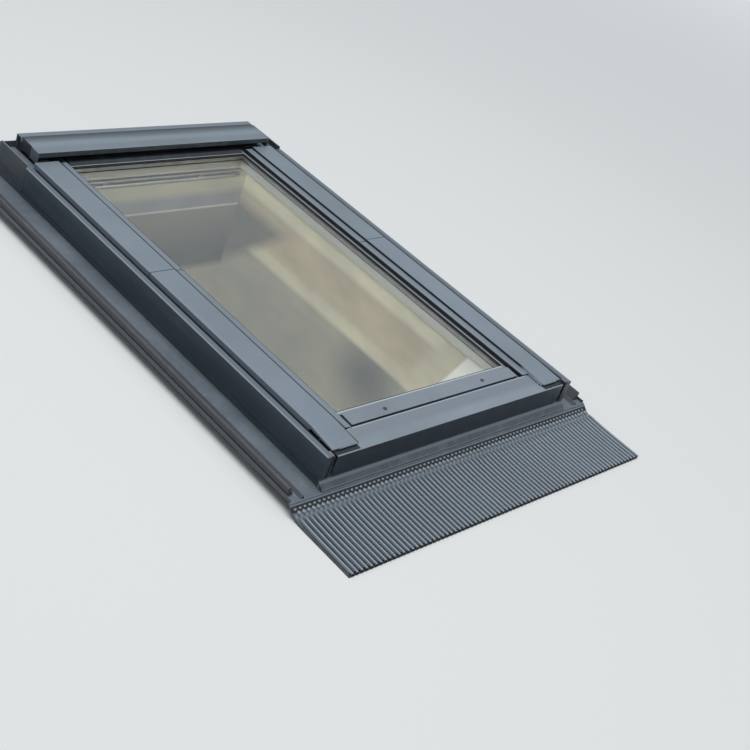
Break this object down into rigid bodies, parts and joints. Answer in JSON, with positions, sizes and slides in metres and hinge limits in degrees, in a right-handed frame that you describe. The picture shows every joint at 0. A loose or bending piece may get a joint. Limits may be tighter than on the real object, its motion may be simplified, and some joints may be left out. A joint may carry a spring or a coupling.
{
  "type": "centre-pivot roof window",
  "caption": "Centre-pivot roof window with dark aluminium covers, double glazing, white timber inside and flashing with a pleated apron.",
  "frame": {"origin": "centre of the frame on its underside, which is the centre of the pattern of the four fixing bracket holes", "axes": "+X to the right, +Y up the roof slope, +Z out of the roof towards the sky"},
  "size_m": [0.9576, 1.4992, 0.126],
  "materials": {
    "painted_timber": "white paint, satin",
    "glass": "clear float glass",
    "spacer_aluminium": "matt",
    "black_rubber": "matt",
    "foam": "open foam",
    "dark_plastic": "fine grain",
    "flashing_aluminium": "dark grey lacquer, weathered",
    "bar_aluminium": "anodised, brushed",
    "steel": "zinc plated",
    "cladding_aluminium": "dark grey lacquer, satin"
  },
  "bodies": {
    "frame": {"bolt_bush": "steel", "bottom_cover": "cladding_aluminium", "bracket_screws": "steel", "fixing_bracket_back_left": "steel", "fixing_bracket_back_right": "steel", "fixing_bracket_front_left": "steel", "fixing_bracket_front_right": "steel", "flashing_sill": "flashing_aluminium", "foam_strips": "foam", "frame_cover_clips": "steel", "frame_head": "painted_timber", "frame_side_left": "painted_timber", "frame_side_right": "painted_timber", "frame_sill": "painted_timber", "head_corner_left": "flashing_aluminium", "head_corner_right": "flashing_aluminium", "head_flashing": "flashing_aluminium", "hinge_shoe_left": "steel", "hinge_shoe_right": "steel", "hood": "cladding_aluminium", "hood_end_left": "dark_plastic", "hood_end_right": "dark_plastic", "insect_screen": "dark_plastic", "pleated_apron": "flashing_aluminium", "side_cladding_head_left": "cladding_aluminium", "side_cladding_head_right": "cladding_aluminium", "side_cladding_left": "cladding_aluminium", "side_cladding_right": "cladding_aluminium", "side_cover_upper_left": "cladding_aluminium", "side_cover_upper_right": "cladding_aluminium", "side_flashing_left": "flashing_aluminium", "side_flashing_right": "flashing_aluminium", "striker_plate": "steel", "weather_seal": "black_rubber"},
    "sash": {"bedding_tape": "black_rubber", "bolt_case": "steel", "bottom_trim": "cladding_aluminium", "flap_blocks": "dark_plastic", "glass_spacer": "spacer_aluminium", "glazing_gasket": "black_rubber", "hinge_rail_left": "steel", "hinge_rail_right": "steel", "inner_pane": "glass", "latch_case": "steel", "outer_pane": "glass", "sash_bottom_rail": "painted_timber", "sash_cover_clips": "steel", "sash_stile_left": "painted_timber", "sash_stile_right": "painted_timber", "sash_top_rail": "painted_timber", "side_cover_lower_left": "cladding_aluminium", "side_cover_lower_right": "cladding_aluminium", "side_trim_left": "cladding_aluminium", "side_trim_right": "cladding_aluminium", "top_trim": "cladding_aluminium", "trim_plugs": "dark_plastic"},
    "flap": {"control_bar": "bar_aluminium", "ventilation_flap": "bar_aluminium"},
    "bolt": {"barrel_bolt": "steel"}
  },
  "joints": [
    {"name": "sash_pivot", "type": "hinge", "parent": "frame", "child": "sash", "pos_m": [0, 0.04, 0.103], "axis": [-1, 0, 0], "range_deg": [0, 150]},
    {"name": "flap_turn", "type": "hinge", "parent": "sash", "child": "flap", "pos_m": [0, 0.532, 0.028], "axis": [1, 0, 0], "range_deg": [0, 30]},
    {"name": "bolt_slide", "type": "slide", "parent": "sash", "child": "bolt", "axis": [1, 0, 0], "range_m": [0, 0.01]}
  ]
}
